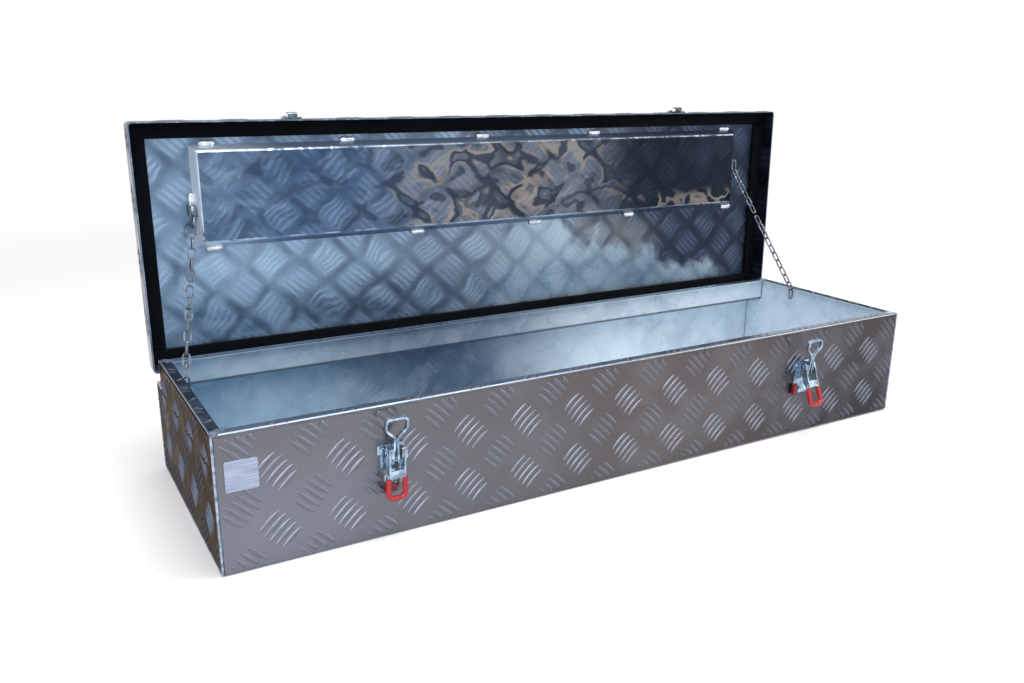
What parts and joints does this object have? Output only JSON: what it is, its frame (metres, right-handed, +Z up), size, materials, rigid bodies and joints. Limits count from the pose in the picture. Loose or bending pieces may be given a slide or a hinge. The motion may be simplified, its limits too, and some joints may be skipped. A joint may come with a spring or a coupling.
{
  "type": "trailer tongue box",
  "caption": "Low aluminium tread-plate tongue box with an open full-width lid on a piano hinge, a foam seal, stay chains, draw latches and hooked keepers.",
  "frame": {"origin": "middle of the floor's flat underside, which is the base mount", "axes": "+X along the box to its right end, -Y out of the front wall that carries the latches, +Z up"},
  "size_m": [1.011, 0.354, 0.4413],
  "materials": {
    "tread_plate": "bright tread plate, satin between the bars",
    "lid_plate": "bright smooth side of tread plate",
    "aluminium_weld": "rippled weld",
    "hinge_steel": "rolled stainless",
    "latch_zinc": "bright zinc plate",
    "chain_zinc": "bright zinc plate",
    "seal_foam": "matt closed-cell foam",
    "grip_red": "dipped vinyl",
    "tip_red": "dipped vinyl"
  },
  "bodies": {
    "box": {"body_wrap": "tread_plate", "chain_left_rim_link": "chain_zinc", "chain_right_rim_link": "chain_zinc", "corner_weld_left": "aluminium_weld", "corner_weld_right": "aluminium_weld", "end_panel_left": "tread_plate", "end_panel_right": "tread_plate", "hinge_box_leaf": "hinge_steel", "hinge_pin": "hinge_steel", "latch_left_base": "latch_zinc", "latch_left_pivot_left": "latch_zinc", "latch_left_pivot_right": "latch_zinc", "latch_left_rivet_lower": "latch_zinc", "latch_left_rivet_upper": "latch_zinc", "latch_right_base": "latch_zinc", "latch_right_pivot_left": "latch_zinc", "latch_right_pivot_right": "latch_zinc", "latch_right_rivet_lower": "latch_zinc", "latch_right_rivet_upper": "latch_zinc"},
    "lid": {"chain_left_lid_link": "chain_zinc", "chain_right_lid_link": "chain_zinc", "hinge_lid_leaf": "hinge_steel", "keeper_left": "latch_zinc", "keeper_left_rivet_left": "latch_zinc", "keeper_left_rivet_right": "latch_zinc", "keeper_right": "latch_zinc", "keeper_right_rivet_left": "latch_zinc", "keeper_right_rivet_right": "latch_zinc", "lid_pan": "lid_plate", "lid_seal_front": "seal_foam", "lid_seal_left": "seal_foam", "lid_seal_rear": "seal_foam", "lid_seal_right": "seal_foam", "lid_skin": "lid_plate"},
    "chain_left_lower_run": {"chain_left_lower": "chain_zinc"},
    "chain_left_upper_run": {"chain_left_upper": "chain_zinc"},
    "chain_right_lower_run": {"chain_right_lower": "chain_zinc"},
    "chain_right_upper_run": {"chain_right_upper": "chain_zinc"},
    "latch_left_lever": {"latch_left_grip": "grip_red", "latch_left_handle": "latch_zinc"},
    "latch_left_trunnion": {"latch_left_eye_pin": "latch_zinc"},
    "latch_left_draw_eye": {"latch_left_eye": "latch_zinc"},
    "latch_left_safety": {"latch_left_catch": "latch_zinc", "latch_left_catch_rivet": "latch_zinc", "latch_left_catch_tip": "tip_red"},
    "latch_right_lever": {"latch_right_grip": "grip_red", "latch_right_handle": "latch_zinc"},
    "latch_right_trunnion": {"latch_right_eye_pin": "latch_zinc"},
    "latch_right_draw_eye": {"latch_right_eye": "latch_zinc"},
    "latch_right_safety": {"latch_right_catch": "latch_zinc", "latch_right_catch_rivet": "latch_zinc", "latch_right_catch_tip": "tip_red"}
  },
  "joints": [
    {"name": "lid_hinge", "type": "hinge", "parent": "box", "child": "lid", "pos_m": [0, 0.1349, 0.1379], "axis": [1, 0, 0], "range_deg": [0, 91]},
    {"name": "chain_left_rim_swing", "type": "hinge", "parent": "box", "child": "chain_left_lower_run", "pos_m": [-0.4827, 0.047, 0.15175], "axis": [1, 0, 0], "range_deg": [0, 154.3]},
    {"name": "chain_left_lid_swing", "type": "hinge", "parent": "lid", "child": "chain_left_upper_run", "pos_m": [-0.43796, 0.15242, 0.31672], "axis": [1, 0, 0], "range_deg": [-77.8, 0]},
    {"name": "chain_right_rim_swing", "type": "hinge", "parent": "box", "child": "chain_right_lower_run", "pos_m": [0.4827, 0.04, 0.15175], "axis": [1, 0, 0], "range_deg": [0, 164.3]},
    {"name": "chain_right_lid_swing", "type": "hinge", "parent": "lid", "child": "chain_right_upper_run", "pos_m": [0.44196, 0.15279, 0.33772], "axis": [1, 0, 0], "range_deg": [-78.8, 0]},
    {"name": "latch_left_lever_pivot", "type": "hinge", "parent": "box", "child": "latch_left_lever", "pos_m": [-0.3135, -0.1666, 0.102], "axis": [-1, 0, 0], "range_deg": [0, 120]},
    {"name": "latch_left_trunnion_pivot", "type": "hinge", "parent": "latch_left_lever", "child": "latch_left_trunnion", "pos_m": [-0.3135, -0.1646, 0.092], "axis": [1, 0, 0], "range_deg": [0, 120]},
    {"name": "latch_left_eye_swing", "type": "hinge", "parent": "latch_left_trunnion", "child": "latch_left_draw_eye", "pos_m": [-0.3135, -0.1646, 0.092], "axis": [1, 0, 0], "range_deg": [-8, 85]},
    {"name": "latch_left_safety_swing", "type": "hinge", "parent": "box", "child": "latch_left_safety", "pos_m": [-0.318, -0.1579, 0.0685], "axis": [0, 1, 0], "range_deg": [0, 90]},
    {"name": "latch_right_lever_pivot", "type": "hinge", "parent": "box", "child": "latch_right_lever", "pos_m": [0.304, -0.1666, 0.102], "axis": [-1, 0, 0], "range_deg": [-24, 96]},
    {"name": "latch_right_trunnion_pivot", "type": "hinge", "parent": "latch_right_lever", "child": "latch_right_trunnion", "pos_m": [0.304, -0.16884, 0.09205], "axis": [1, 0, 0], "range_deg": [-24, 96]},
    {"name": "latch_right_eye_swing", "type": "hinge", "parent": "latch_right_trunnion", "child": "latch_right_draw_eye", "pos_m": [0.304, -0.16884, 0.09205], "axis": [1, 0, 0], "range_deg": [-8, 85]},
    {"name": "latch_right_safety_swing", "type": "hinge", "parent": "box", "child": "latch_right_safety", "pos_m": [0.2995, -0.1579, 0.0685], "axis": [0, 1, 0], "range_deg": [-90, 0]}
  ],
  "couplings": [
    {"joint": "chain_left_rim_swing", "follows": "lid_hinge", "ratio": 1.69},
    {"joint": "chain_left_lid_swing", "follows": "lid_hinge", "ratio": -0.85},
    {"joint": "chain_right_rim_swing", "follows": "lid_hinge", "ratio": 1.8},
    {"joint": "chain_right_lid_swing", "follows": "lid_hinge", "ratio": -0.86},
    {"joint": "latch_left_trunnion_pivot", "follows": "latch_left_lever_pivot", "ratio": 1},
    {"joint": "latch_right_trunnion_pivot", "follows": "latch_right_lever_pivot", "ratio": 1}
  ]
}
